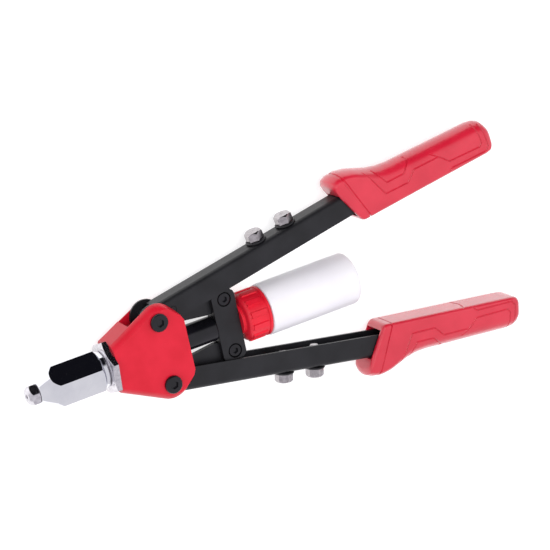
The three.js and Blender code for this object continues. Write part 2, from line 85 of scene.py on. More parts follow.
NOSE_TIP, BARREL_FRONT, CONE_END = -111.5, -102.5, -92.5
RING_FRONT, NUT_FRONT, HEAD_FRONT, THREAD_END = -52.0, -46.9, -41.0, -22.0
NOSEPIECE_AF, BARREL_AF, NUT_AF = 15.0, 32.0, 39.5
HEX_TURN = math.radians(12)
THREAD_R, BARREL_BORE_R, RIVET_BORE_R = 13.2, 11.0, 2.2

HEAD_HALF_Z, HEAD_NOSE_Y, HEAD_SLOPE = 16.5, 19.7, math.radians(27.4)
HEAD_LOBE, HEAD_LOBE_R, HEAD_LOBE_END = (0.8, 24.6), 14.9, 42
HEAD_REAR, HEAD_SHOULDER_Y = 21.0, 25.0
HEAD_BEVEL, HEAD_BEVEL_IN = 6.0, 5.0
SLOT_HALF_Z, SLOT_FRONT, CORE_Y = 10.0, -23.0, 12.2
PIVOT_R, PIVOT_HEAD_R, PIVOT_HEAD_H = 4.9, 7.25, 2.85

WEB_W, EDGE_W, CHANNEL_HALF_Z, WALL, CHANNEL_END = 10.2, -8.9, 9.7, 2.0, 212.0
EAR_R, WEB_START = 13.4, 4.0
BOLTS_L = (106.2, 134.8)
BOLT_TIPS_W = (-6.5, -7.4)
BOLT_R, BOLT_AF, BOLT_HEAD_H = 3.9, 13.0, 7.0

YOKE_PIN = (61.5, 21.9)
YOKE_X, YOKE_HALF_Y, YOKE_HALF_Z = (50.6, 71.0), 29.0, 7.3
CLEVIS_Y, LINK_HALF_Z, SCREW_SINK = 11.8, 2.3, 3.2
TUBE_R, SPIGOT_R, MANDREL_R, TUBE_FRONT, CASE_REAR = 10.3, 5.9, 1.9, -47.0, -35.3

COLLAR_X, COLLAR_R, COLLAR_RIBS, RIB_FOOT_HALF = (73.5, 93.9), 20.6, 12, 2.6
BOTTLE_X, BOTTLE_R, BOTTLE_WALL = (94.3, 177.0), (21.4, 21.8), 1.2
BOTTLE_MOUTH_X, BOTTLE_MOUTH_R = 80.0, 18.2

GAP = 0.3
ROUND = 72

# ---------------------------------------------------------------- the frame's place
_bolt_low, _bolt_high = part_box("upper_pivot_bolt")
_bottle_low, _bottle_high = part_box("bottle")
ZERO = Vector(((_bolt_low.x + _bolt_high.x) / 2, 0.0, (_bottle_low.z + _bottle_high.z) / 2))


def place(x, y, z):
    """A point in millimetres in the tool's frame, in metres in the row frame."""
    return ZERO + Vector((x, y, z)) / 1000


def arm_point(length, out, z, side=1, angle=ARM_ANGLE):
    """A point in an arm's own frame: length from its pivot, out across it, side +1 upper, -1 lower."""
    x = length * math.cos(angle) - out * math.sin(angle)
    y = PIVOT_Y + length * math.sin(angle) + out * math.cos(angle)
    return Vector((x, side * y, z))


# ---------------------------------------------------------------- mesh helpers
def new_object(name, points, faces):
    """A mesh object from millimetre points in the tool's frame, with its faces turned outwards."""
    mesh = bpy.data.meshes.new(name)
    mesh.from_pydata([place(*p) for p in points], [], faces)
    mesh.validate()
    obj = bpy.data.objects.new(name, mesh)
    bpy.context.scene.collection.objects.link(obj)
    edit = bmesh.new()
    edit.from_mesh(mesh)
    bmesh.ops.remove_doubles(edit, verts=edit.verts, dist=1e-7)
    bmesh.ops.recalc_face_normals(edit, faces=edit.faces)
    edit.to_mesh(mesh)
    edit.free()
    return obj


def loft(name, rings, closed=False):
    """Rings of points joined one to the next. Open ends are capped; closed, the last joins the first."""
    count = len(rings[0])
    points = [p for ring in rings for p in ring]
    faces = []
    last = len(rings) if closed else len(rings) - 1
    for r in range(last):
        a, b = r * count, ((r + 1) % len(rings)) * count
        faces += [(a + i, a + (i + 1) % count, b + (i + 1) % count, b + i) for i in range(count)]
    if not closed:
        faces.append(tuple(range(count))[::-1])
        faces.append(tuple(len(points) - count + i for i in range(count)))
    return new_object(name, points, faces)


def turned(name, profile, segments=ROUND):
    """A closed profile of (x, radius) points turned about the tool's axis."""
    rings = [
        [(x, r * math.cos(a), r * math.sin(a)) for x, r in profile]
        for a in (2 * math.pi * i / segments for i in range(segments))
    ]
    return loft(name, rings, closed=True)


def prism(name, outline, low, high, to_tool=lambda x, y, z: (x, y, z)):
    """An outline of (x, y) points swept between two heights. to_tool takes a point to the tool's frame."""
    rings = [[to_tool(x, y, z) for x, y in outline] for z in (low, high)]
    return loft(name, rings)


def apply_modifiers(obj):
    graph = bpy.context.evaluated_depsgraph_get()
    mesh = bpy.data.meshes.new_from_object(obj.evaluated_get(graph))
    obj.modifiers.clear()
    obj.data = mesh
    return obj


def boolean(obj, other, operation="DIFFERENCE"):
    """Cuts, joins or intersects obj with other, which is used up."""
    tool = obj.modifiers.new("boolean", "BOOLEAN")
    tool.operation = operation
    tool.solver = "EXACT"
    tool.object = other
    apply_modifiers(obj)
    bpy.data.objects.remove(other)
    return obj


def bevel(obj, width, segments=2, angle=30):
    """Rounds every edge sharper than angle, by a width in millimetres."""
    tool = obj.modifiers.new("bevel", "BEVEL")
    tool.width = width / 1000
    tool.segments = segments
    tool.limit_method = "ANGLE"
    tool.angle_limit = math.radians(angle)
    tool.use_clamp_overlap = True
    tool.harden_normals = False
    return apply_modifiers(obj)


def smooth(obj, angle=35):
    """Smooth shading up to an angle, with the normals of large flat faces kept flat."""
    obj.data.shade_smooth()
    obj.data.set_sharp_from_angle(angle=math.radians(angle))
    tool = obj.modifiers.new("normals", "WEIGHTED_NORMAL")
    tool.weight = 100
    tool.keep_sharp = True
    return apply_modifiers(obj)


def arc(cx, cy, radius, start, end, steps):
    """Points on an arc, its two angles in degrees."""
    angles = [math.radians(start + (end - start) * i / steps) for i in range(steps + 1)]
    return [(cx + radius * math.cos(a), cy + radius * math.sin(a)) for a in angles]


def along_x(x, y, z):
    return (z, x, y)


def disc(radius, steps=ROUND):
    return arc(0, 0, radius, 0, 360 - 360 / steps, steps - 1)


def hexagon(across_flats, turn=0.0):
    corner = across_flats / 2 / math.cos(math.pi / 6)
    angles = [turn + math.pi / 3 * i for i in range(6)]
    return [(corner * math.cos(a), corner * math.sin(a)) for a in angles]


def from_cad(node, name):
    """A copy of a CAD node's shape, with its flat facets merged, for a finer finish."""
    obj = bpy.data.objects.new(name, frame["nodes"][node].data.copy())
    obj.data.materials.clear()
    bpy.context.scene.collection.objects.link(obj)
    edit = bmesh.new()
    edit.from_mesh(obj.data)
    bmesh.ops.remove_doubles(edit, verts=edit.verts, dist=2e-6)
    bmesh.ops.dissolve_limit(edit, angle_limit=math.radians(1), verts=edit.verts, edges=edit.edges)
    edit.to_mesh(obj.data)
    edit.free()
    return obj


def finish_piece(obj, body, slot, material, *nodes):
    """Gives a piece its material and body, and hides the CAD nodes that it stands for; its slot is not used.
    """
    obj.data.materials.clear()
    obj.data.materials.append(material)
    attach(obj, body)
    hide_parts(*nodes)
    return obj


# ---------------------------------------------------------------- materials
class Shader:
    """A small wrapper that builds one procedural material."""

    def __init__(self, name, color, roughness, metallic=0.0, **sockets):
        self.material = bpy.data.materials.new(name)
        self.material.use_nodes = True
        self.tree = self.material.node_tree
        self.shader = self.tree.nodes["Principled BSDF"]
        self.color = (*color, 1.0)
        self.shader.inputs["Base Color"].default_value = self.color
        self.shader.inputs["Roughness"].default_value = roughness
        self.shader.inputs["Metallic"].default_value = metallic
        for socket, value in sockets.items():
            self.shader.inputs[socket.replace("_", " ")].default_value = value
        self.where = self.node("ShaderNodeTexCoord").outputs["Object"]
        self.height = None

    def node(self, kind, **values):
        made = self.tree.nodes.new(kind)
        for key, value in values.items():
            setattr(made, key, value)
        return made

    def link(self, source, target):
        self.tree.links.new(source, target)

    def noise(self, scale, detail=3.0, stretch=(1, 1, 1)):
        """Noise with features about 1/scale metres across."""
        mapping = self.node("ShaderNodeMapping")
        mapping.inputs["Scale"].default_value = stretch
        texture = self.node("ShaderNodeTexNoise")
        texture.inputs["Scale"].default_value = scale
        texture.inputs["Detail"].default_value = detail
        self.link(self.where, mapping.inputs["Vector"])
        self.link(mapping.outputs["Vector"], texture.inputs["Vector"])
        return texture.outputs["Fac"]

    def ramp(self, factor, low, high, positions=(0.35, 0.65)):
        made = self.node("ShaderNodeValToRGB")
        for element, position, color in zip(made.color_ramp.elements, positions, (low, high)):
            element.position = position
            element.color = (*color, 1.0)
        self.link(factor, made.inputs["Fac"])
        return made.outputs["Color"]

    def vary_color(self, factor, low, high, positions=(0.35, 0.65)):
        self.link(self.ramp(factor, low, high, positions), self.shader.inputs["Base Color"])

    def vary_roughness(self, factor, low, high):
        made = self.node("ShaderNodeMapRange")
        made.inputs["To Min"].default_value = low
        made.inputs["To Max"].default_value = high
        self.link(factor, made.inputs["Value"])
        self.link(made.outputs["Result"], self.shader.inputs["Roughness"])

    def bump(self, factor, strength, distance_mm):
        made = self.node("ShaderNodeBump")
        made.inputs["Strength"].default_value = strength
        made.inputs["Distance"].default_value = distance_mm / 1000
        self.link(factor, made.inputs["Height"])
        if self.height is not None:
            self.link(self.height, made.inputs["Normal"])
        self.height = made.outputs["Normal"]
        self.link(self.height, self.shader.inputs["Normal"])


def chrome_material():
    made = Shader("polished_chrome", (0.83, 0.835, 0.86), 0.05, 1.0)
    made.vary_color(made.noise(60, 4), (0.78, 0.785, 0.82), (0.86, 0.865, 0.885))
    made.vary_roughness(made.noise(240, 5), 0.03, 0.10)
    made.bump(made.noise(900, 2, (0.3, 1, 1)), 0.05, 0.02)
    return made.material


def zinc_material(name, low, high):
    made = Shader(name, low, 0.16, 1.0)
    made.vary_color(made.noise(350, 4), low, high)
    made.vary_roughness(made.noise(500, 4), 0.1, 0.22)
    made.bump(made.noise(1400, 3), 0.06, 0.01)
    return made.material


def plain_steel_material():
    made = Shader("ground_steel", (0.5, 0.5, 0.52), 0.35, 1.0)
    made.vary_color(made.noise(200, 5, (1, 1, 6)), (0.42, 0.42, 0.44), (0.56, 0.56, 0.58))
    made.vary_roughness(made.noise(700, 4, (1, 1, 8)), 0.28, 0.45)
    return made.material


def black_coat_material():
    made = Shader("satin_black_coat", (0.006, 0.006, 0.008), 0.42, Specular_IOR_Level=0.45)
    made.vary_color(made.noise(45, 4), (0.005, 0.005, 0.006), (0.010, 0.010, 0.012))
    made.vary_roughness(made.noise(320, 4), 0.36, 0.5)
    made.bump(made.noise(2600, 2), 0.25, 0.03)
    return made.material


def black_gloss_material():
    made = Shader("glossy_black", (0.004, 0.004, 0.006), 0.2, Specular_IOR_Level=0.45)
    made.vary_color(made.noise(60, 3), (0.003, 0.003, 0.004), (0.007, 0.006, 0.009))
    made.vary_roughness(made.noise(420, 4), 0.14, 0.24)
    return made.material


def red_paint_material():
    made = Shader("red_head_paint", (0.54, 0.005, 0.021), 0.36, Specular_IOR_Level=0.42)
    made.vary_color(made.noise(50, 4), (0.51, 0.004, 0.018), (0.57, 0.008, 0.026))
    made.vary_roughness(made.noise(380, 4), 0.32, 0.44)
    made.bump(made.noise(1500, 3), 0.2, 0.04)
    return made.material


def red_grip_material():
    made = Shader("red_grip_plastic", (0.53, 0.007, 0.028), 0.34, Coat_Weight=1.0, Coat_Roughness=0.25)
    made.vary_color(made.noise(40, 4), (0.50, 0.005, 0.024), (0.57, 0.011, 0.034))
    made.vary_roughness(made.noise(260, 5), 0.28, 0.42)
    made.bump(made.noise(2200, 2), 0.16, 0.03)
    return made.material


def red_collar_material():
    made = Shader("red_collar_plastic", (0.61, 0.007, 0.022), 0.36)
    made.vary_color(made.noise(70, 3), (0.57, 0.005, 0.018), (0.66, 0.010, 0.028))
    made.vary_roughness(made.noise(400, 4), 0.3, 0.44)
    made.bump(made.noise(1800, 2), 0.15, 0.04)
    return made.material


def bottle_material():
    made = Shader("milky_polyethylene", (0.94, 0.92, 0.95), 0.32, 0.0, Transmission_Weight=0.3, IOR=1.3)
    made.vary_color(made.noise(30, 3), (0.92, 0.90, 0.935), (0.96, 0.945, 0.97))
    made.vary_roughness(made.noise(160, 4), 0.26, 0.4)
    made.bump(made.noise(700, 3), 0.12, 0.05)
    return made.material


CHROME = chrome_material()
ZINC = zinc_material("bright_zinc", (0.58, 0.56, 0.59), (0.72, 0.70, 0.73))
DULL_ZINC = zinc_material("dull_zinc", (0.36, 0.335, 0.345), (0.50, 0.47, 0.48))
STEEL = plain_steel_material()
BLACK = black_coat_material()
BLACK_GLOSS = black_gloss_material()
RED_PAINT = red_paint_material()
RED_GRIP = red_grip_material()
RED_COLLAR = red_collar_material()
MILKY = bottle_material()


# ---------------------------------------------------------------- nose
def hex_body(name, across_flats, profile):
    """A piece turned about the axis, with six flats cut along it wherever it is wide enough."""
    body = turned(name, profile, 96)
    low, high = min(x for x, _ in profile) - 1, max(x for x, _ in profile) + 1
    inner, outer = hexagon(across_flats, HEX_TURN), hexagon(across_flats * 2, HEX_TURN)
    sleeve = ((inner, low), (outer, low), (outer, high), (inner, high))
    rings = [[along_x(y, z, x) for y, z in shape] for shape, x in sleeve]
    return boolean(body, loft(name + "_flats", rings, closed=True))


def round_bar(name, radius, low, high):
    return prism(name, disc(radius), low, high, along_x)


def nosepiece():
    corner = NOSEPIECE_AF / 2 / math.cos(math.pi / 6)
    rear = BARREL_FRONT - GAP
    shank = 6.0
    profile = [(NOSE_TIP + 0.9, RIVET_BORE_R), (NOSE_TIP, RIVET_BORE_R + 0.9), (NOSE_TIP, 5.0),
               (NOSE_TIP + 0.3, 5.6), (NOSE_TIP + 3.2, corner), (rear - 0.9, corner),
               (rear, corner - 1.0), (rear, shank), (CONE_END - GAP, shank),
               (CONE_END - GAP, RIVET_BORE_R)]
    made = hex_body("nosepiece_chrome", NOSEPIECE_AF, profile)
    bevel(made, 0.25, 2)
    finish_piece(smooth(made), "head", "chrome", ZINC, "nosepiece")


def barrel():
    half, corner = BARREL_AF / 2, BARREL_AF / 2 / math.cos(math.pi / 6)
    mouth, neck, ring, ring_end = 6.3, 13.9, 15.0, NUT_FRONT - GAP
    profile = [(BARREL_FRONT, mouth), (BARREL_FRONT, 8.2), (BARREL_FRONT + 0.4, 8.9),
               (CONE_END, half + 0.6), (CONE_END + 4, corner), (RING_FRONT - 1.6, corner),
               (RING_FRONT - 0.3, half + 0.8), (RING_FRONT, half), (RING_FRONT, neck),
               (RING_FRONT + 0.7, neck), (RING_FRONT + 1.2, ring), (ring_end - 0.7, ring),
               (ring_end, 14.3), (ring_end, THREAD_R), (THREAD_END, THREAD_R),
               (THREAD_END, BARREL_BORE_R), (CONE_END, BARREL_BORE_R), (CONE_END, mouth)]
    made = hex_body("barrel_chrome", BARREL_AF, profile)
    bevel(made, 0.3, 3)
    finish_piece(smooth(made), "head", "chrome", CHROME, "barrel")


def lock_nut():
    half, corner = NUT_AF / 2, NUT_AF / 2 / math.cos(math.pi / 6)
    rear = HEAD_FRONT - GAP
    profile = [(NUT_FRONT, THREAD_R + GAP), (NUT_FRONT, half - 0.6), (NUT_FRONT + 1.9, corner),
               (rear, corner), (rear, THREAD_R + GAP)]
    made = hex_body("lock_nut_zinc", NUT_AF, profile)
    bevel(made, 0.3, 2)
    finish_piece(smooth(made), "head", "zinc", ZINC, "lock_nut")


# ---------------------------------------------------------------- head
HEAD_OVERRUN = 10.0  # the outline runs on past both ends, which are then cut off square
FAR_TRIM = 1.5  # the far cheek is this much smaller behind the slot's mouth, in the looks alone


def head_outline():
    """The head's upper outline from front to back: (x, y, share of the full bevel)."""
    x, y = HEAD_LOBE
    first, last, fade = 90 + math.degrees(HEAD_SLOPE), HEAD_LOBE_END, 80
    upper = [(HEAD_FRONT - HEAD_OVERRUN, HEAD_NOSE_Y - HEAD_OVERRUN * math.tan(HEAD_SLOPE), 1.0)]
    for step in range(21):
        a = first + (last - first) * step / 20
        point = (x + HEAD_LOBE_R * math.cos(math.radians(a)), y + HEAD_LOBE_R * math.sin(math.radians(a)))
        upper.append((*point, 1.0 if a > fade else 0.45 + 0.55 * (a - last) / (fade - last)))
    upper += [(HEAD_REAR - 3.5, HEAD_SHOULDER_Y + 3.6, 0.3), (HEAD_REAR - 1.1, HEAD_SHOULDER_Y + 0.4, 0.16),
              (HEAD_REAR, HEAD_SHOULDER_Y - 3.0, 0.1), (HEAD_REAR + HEAD_OVERRUN, HEAD_SHOULDER_Y - 3.0, 0.1)]
    return upper


def head_slab(name, steps=6):
    """The head's block, its two faces drawn in by a curved bevel that fades out towards the rear."""
    upper = head_outline()
    outline = upper + [(x, -y, share) for x, y, share in reversed(upper)]
    count = len(outline)

    def inset(amount, trim):
        moved = []
        for i, (x, y, share) in enumerate(outline):
            here = Vector((x, y))
            before, after = Vector(outline[i - 1][:2]), Vector(outline[(i + 1) % count][:2])
            ahead = ((here - before).normalized() + (after - here).normalized()).normalized()
            depth = amount * share + (trim if x > SLOT_FRONT else 0.0)
            moved.append((x + ahead.y * depth, y - ahead.x * depth))
        return moved

    start, end = math.radians(12), math.radians(60)  # the bevel's slope at its foot and at the face
    profile = []
    for i in range(steps + 1):
        a = start + (end - start) * i / steps
        inwards = HEAD_BEVEL_IN * (math.cos(start) - math.cos(a)) / (math.cos(start) - math.cos(end))
        rise = HEAD_BEVEL * (math.sin(a) - math.sin(start)) / (math.sin(end) - math.sin(start))
        profile.append((inwards, HEAD_HALF_Z - HEAD_BEVEL + rise))
    levels = [(amount, -z, FAR_TRIM) for amount, z in reversed(profile)]
    levels += [(0.0, -SLOT_HALF_Z, FAR_TRIM), (0.0, 0.5 - SLOT_HALF_Z, 0.0)]
    levels += [(amount, z, 0.0) for amount, z in profile]
    return loft(name, [[(x, y, z) for x, y in inset(amount, trim)] for amount, z, trim in levels])


def head():
    made = head_slab("head_casting")
    keep = [(HEAD_FRONT, -60), (HEAD_REAR, -60), (HEAD_REAR, 60), (HEAD_FRONT, 60)]
    made = boolean(made, prism("ends", keep, -30, 30), "INTERSECT")
    made = boolean(made, round_bar("thread_bore", THREAD_R + GAP, HEAD_FRONT - 1, THREAD_END + GAP))
    made = boolean(made, round_bar("tube_bore", TUBE_R + 0.4, THREAD_END, HEAD_REAR + 1))
    mouth_y = HEAD_NOSE_Y + (SLOT_FRONT - HEAD_FRONT) * math.tan(HEAD_SLOPE)
    reach = PIVOT_Y + 3 * HEAD_LOBE_R
    for side in (1, -1):
        slot = [(SLOT_FRONT, reach), (SLOT_FRONT, mouth_y), (SLOT_FRONT + 10, CORE_Y),
                (HEAD_REAR + 1, CORE_Y), (HEAD_REAR + 1, reach)]
        made = boolean(made, prism("slot", [(x, side * y) for x, y in slot], -SLOT_HALF_Z, SLOT_HALF_Z))
        hole = [(x, y + side * PIVOT_Y) for x, y in disc(PIVOT_R + GAP)]
        made = boolean(made, prism("pivot_hole", hole, -30, 30))
    bevel(made, 0.45, 3, 50)
    finish_piece(smooth(made, 24), "head", "red_head", RED_PAINT, "head_body")


def pivot_bolt(name, side):
    """A black button-headed bolt with a hexagon socket, and its domed edge."""
    face = HEAD_HALF_Z + GAP
    r, h = PIVOT_HEAD_R, PIVOT_HEAD_H
    dome = 1.5  # radius of the head's rounded edge
    profile = [(0.0, -face - h + GAP), (PIVOT_R, -face - h + GAP), (PIVOT_R, face), (r, face)]
    profile += [(r, face + h - dome)]
    profile += [(r - dome + dome * math.cos(a), face + h - dome + dome * math.sin(a))
                for a in (0.35, 0.7, 1.05, 1.4)]
    profile += [(r - 1.7, face + h), (0.0, face + h)]
    rings = []
    for i in range(48):
        a = 2 * math.pi * i / 48
        rings.append([(q * math.cos(a), side * PIVOT_Y + q * math.sin(a), z) for q, z in profile])
    made = loft(name + "_black", rings, closed=True)
    outline = [(x, y + side * PIVOT_Y) for x, y in hexagon(6.0, 0.3)]
    made = boolean(made, prism("socket", outline, face + 0.9, face + h + 1))
    bevel(made, 0.2, 2, 40)
    finish_piece(smooth(made, 30), "head", "black_steel", BLACK_GLOSS, name)


# ---------------------------------------------------------------- arms
EAR_SINK = 0.03  # an ear's faces lie this much inside its flange's, so that the two join cleanly


def channel(name, side):
    """A pressed U channel with round bends, and a round ear on each flange about the pivot."""
    outer, inner = 4.4, 2.4
    half, thin = CHANNEL_HALF_Z, CHANNEL_HALF_Z - WALL

    def bends(top, width, radius):
        right = arc(top - radius, radius - width, radius, -90, 0, 8)
        left = arc(top - radius, width - radius, radius, 0, 90, 8)
        return right + left

    section = [(EDGE_W, -half)] + bends(WEB_W, half, outer) + [(EDGE_W, half), (EDGE_W, thin)]
    section += list(reversed(bends(WEB_W - WALL, thin, inner))) + [(EDGE_W, -thin)]
    rings = [[arm_point(length, w, z, side) for w, z in section] for length in (WEB_START, CHANNEL_END)]
    made = loft(name + "_steel", rings)
    for low in (-half + EAR_SINK, half - WALL + EAR_SINK):
        high = low + WALL - 2 * EAR_SINK
        ear = prism("ear", disc(EAR_R), low, high, lambda x, y, z: arm_point(x, y, z, side))
        made = boolean(made, ear, "UNION")
    for length, radius in ((0, PIVOT_R + GAP), (17, 3.1)):
        hole = [(x + length, y) for x, y in disc(radius, 32)]
        made = boolean(made, prism("hole", hole, -20, 20, lambda x, y, z: arm_point(x, y, z, side)))
    bevel(made, 0.35, 2, 40)
    finish_piece(smooth(made, 40), name.replace("_channel", ""), "black_steel", BLACK, name)


def turned_on_arm(name, profile, length, side, segments=48):
    """A profile of (radius, out) points turned about a bolt's line across an arm."""
    rings = []
    for i in range(segments):
        a = 2 * math.pi * i / segments
        rings.append([arm_point(length + r * math.cos(a), w, r * math.sin(a), side) for r, w in profile])
    return loft(name, rings, closed=True)


def arm_bolt(name, body, length, tip, side):
    seat = WEB_W + 2 + GAP
    top = seat + BOLT_HEAD_H
    corner = BOLT_AF / 2 / math.cos(math.pi / 6)
    outline = hexagon(BOLT_AF, 0.0)
    made = prism(name + "_zinc", outline, seat, top, lambda x, y, z: arm_point(length + y, z, x, side))
    turning = [(0.0, seat - 0.1), (corner + 0.1, seat - 0.1), (corner + 0.1, top - 1.5),
               (BOLT_AF / 2 - 0.5, top), (0.0, top)]
    made = boolean(made, turned_on_arm("turning", turning, length, side), "INTERSECT")
    dimple = [(0.0, top - 0.35), (1.5, top - 0.1), (1.8, top + 0.3), (0.0, top + 0.3)]
    made = boolean(made, turned_on_arm("dimple", dimple, length, side, 24))
    shank = [(0.0, tip), (BOLT_R - 0.8, tip), (BOLT_R, tip + 0.8), (BOLT_R, seat + 0.5), (0.0, seat + 0.5)]
    made = boolean(made, turned_on_arm("shank", shank, length, side), "UNION")
    bevel(made, 0.25, 2, 28)
    finish_piece(smooth(made, 30), body, "zinc", DULL_ZINC, name)


def arm_washer(name, body, length, side):
    r, low, high, bore = 8.5, WEB_W + GAP, WEB_W + 2, BOLT_R + GAP
    profile = [(bore, low), (r - 0.4, low), (r, low + 0.4), (r, high - 0.5), (r - 0.5, high), (bore, high)]
    made = turned_on_arm(name + "_black", profile, length, side)
    finish_piece(smooth(made, 30), body, "black_steel", BLACK, name)


# ---------------------------------------------------------------- grips
# Each key is (distance along the grip, value). The grip's planes lean forwards at its front flange.
GRIP_INNER = -9.7
GRIP_TOP = ((194.5, 26.0), (195.3, 29.6), (197.0, 32.6), (200, 34.4), (205, 34.9), (210, 33.3),
            (216, 29.3), (222, 25.6), (229, 23.0), (238, 21.6), (252, 21.2), (280, 20.3), (318, 19.2),
            (324, 18.3), (327.6, 16.6), (329.8, 13.6), (330.8, 9.0))
GRIP_BOTTOM = ((194.5, -7.2), (195.3, -8.8), (196.5, -9.5), (198, -9.7), (322, -9.7), (326.5, -9.2),
               (329.0, -7.6), (330.3, -5.2), (330.8, -2.6))
GRIP_HALF = ((194.5, 11.2), (195.3, 12.7), (196.5, 13.4), (198.5, 13.6), (240, 13.3), (323, 13.3),
             (327.6, 12.7), (329.8, 11.4), (330.8, 9.8))
GRIP_LEAN = ((194.5, 0.457), (202.5, 0.34), (214, 0.19), (226, 0.07), (240, 0.0), (330.8, 0.0))
GRIP_CROWN = ((194.5, 6.0), (206.0, 6.5), (224.0, 12.0), (330.8, 12.0))  # height of the round outer side
GROOVE_DEEP, GROOVE_WIDE = 0.8, 1.6


def keyed(keys, at):
    """The value between keys, on a straight line from each to the next."""
    if at <= keys[0][0]:
        return keys[0][1]
    for (a, va), (b, vb) in zip(keys, keys[1:]):
        if at <= b:
            return va + (vb - va) * (at - a) / (b - a)
    return keys[-1][1]


def grip_section(s, inset):
    """Half of a section, from the middle of the flat inner face round to the middle of the crown."""
    top, bottom, half = keyed(GRIP_TOP, s) - inset, keyed(GRIP_BOTTOM, s) + inset, keyed(GRIP_HALF, s) - inset
    corner = 3.2
    crown = min(keyed(GRIP_CROWN, s), (top - bottom) * 0.45)
    points = [(bottom, half * f) for f in (0.0, 0.25, 0.5)]
    points += [(w, z) for z, w in arc(half - corner, bottom + corner, corner, -90, 0, 6)]
    side_low, side_high = bottom + corner, top - crown
    points += [(side_low + (side_high - side_low) * f, half) for f in (0.25, 0.5, 0.75)]
    angles = (math.pi / 2 * i / 12 for i in range(13))
    points += [(top - crown + crown * math.sin(a), half * math.cos(a)) for a in angles]
    return points


def grip_point(s, w, z, side):
    """A point of the grip, with the lean of its planes worked in."""
    length = s - keyed(GRIP_LEAN, s) * (w - GRIP_INNER)
    return arm_point(length, w, z, side, GRIP_ANGLE)


def grip_ring(s, inset, side):
    half = grip_section(s, inset)
    ring = half + [(w, -z) for w, z in reversed(half[1:-1])]
    return [grip_point(s, w, z, side) for w, z in ring]


def grip_stations():
    """Places along the grip for the loft, with a sharp groove right round behind the flange."""
    fine = sorted({k[0] for keys in (GRIP_TOP, GRIP_BOTTOM, GRIP_HALF, GRIP_LEAN) for k in keys})
    stations = []
    for a, b in zip(fine, fine[1:]):
        steps = max(1, round((b - a) / 3.5))
        stations += [(a + (b - a) * i / steps, 0.0) for i in range(steps)]
    stations.append((fine[-1], 0.0))
    groove = 202.5
    stations = [s for s in stations if abs(s[0] - groove) > GROOVE_WIDE]
    edge = GROOVE_WIDE / 2
    stations += [(groove - edge, 0.0), (groove - edge / 2, GROOVE_DEEP), (groove + edge / 2, GROOVE_DEEP),
                 (groove + edge, 0.0)]
    return sorted(stations)


def surface_point(length, w, side, face):
    """The point on a grip's side or crown at a length and height, on the +Z face or the -Z face."""
    s = length + keyed(GRIP_LEAN, length) * (w - GRIP_INNER)
    s = length + keyed(GRIP_LEAN, s) * (w - GRIP_INNER)
    top, half = keyed(GRIP_TOP, s), keyed(GRIP_HALF, s)
    crown = keyed(GRIP_CROWN, s)
    level = top - crown
    z = half if w <= level else half * math.sqrt(max(0.0, 1 - ((w - level) / crown) ** 2))
    return arm_point(length, w, face * z, side, GRIP_ANGLE)


def groove_cutter(path, side, face):
    """A thin round worm that follows a path of (length, height) points along a grip's surface."""
    dense = []
    for (la, wa), (lb, wb) in zip(path, path[1:]):
        steps = max(2, round(math.hypot(lb - la, wb - wa) / 1.5))
        dense += [(la + (lb - la) * i / steps, wa + (wb - wa) * i / steps) for i in range(steps)]
    dense.append(path[-1])
    line = [surface_point(length, w, side, face) for length, w in dense]
    rings = []
    for i, here in enumerate(line):
        ahead = (line[min(i + 1, len(line) - 1)] - line[max(i - 1, 0)]).normalized()
        across = ahead.cross(Vector((0, 0, 1))).normalized()
        up = across.cross(ahead)
        around = (2 * math.pi * (k + 0.5) / 6 for k in range(6))
        rings.append([here + (across * math.cos(a) + up * math.sin(a)) * GROOVE_WIDE / 2 for a in around])
    return loft("groove", rings)


PANEL_LINES = (
    ((208.4, 28.0), (221.0, 2.6), (243.5, 1.9), (252.0, 9.7), (277.5, 9.0), (285.5, 1.0), (317.0, -0.6),
     (319.5, 2.2), (318.5, 18.0)),
    ((281.7, -8.6), (286.0, -5.2), (321.5, -6.6), (325.0, -2.8), (323.6, 16.6)),
    ((217.3, 24.6), (225.0, 10.9), (242.0, 10.6), (251.0, 18.4), (250.0, 20.8)),
    ((270.5, 14.6), (282.0, 4.9)),
)


def inner_face_groove(side):
    """The groove across the flat inner face, with a bend in its middle."""
    points = [(273.0, -13.0), (276.5, 0.0), (273.0, 13.0)]
    rings = []
    for length, z in points:
        ring = []
        for k in range(6):
            a = 2 * math.pi * (k + 0.5) / 6
            offset = (length + GROOVE_WIDE / 2 * math.cos(a), GRIP_INNER + GROOVE_WIDE / 2 * math.sin(a))
            ring.append(arm_point(*offset, z, side, GRIP_ANGLE))
        rings.append(ring)
    return loft("inner_groove", rings)


def grip(name, side):
    made = loft(name + "_moulding", [grip_ring(s, inset, side) for s, inset in grip_stations()])
    for face in (1, -1):
        for path in PANEL_LINES:
            made = boolean(made, groove_cutter(path, side, face))
    made = boolean(made, inner_face_groove(side))
    half = CHANNEL_HALF_Z + 0.6
    mouth = [(150, -12.6), (202, -12.6), (202, -9.6), (CHANNEL_END + 1, -9.6), (CHANNEL_END + 1, WEB_W + 0.7),
             (150, WEB_W + 0.7)]
    made = boolean(made, prism("mouth", mouth, -half, half, lambda x, y, z: arm_point(x, y, z, side)))
    finish_piece(smooth(made, 32), name.replace("_grip", "_arm"), "red_grip", RED_GRIP, name)


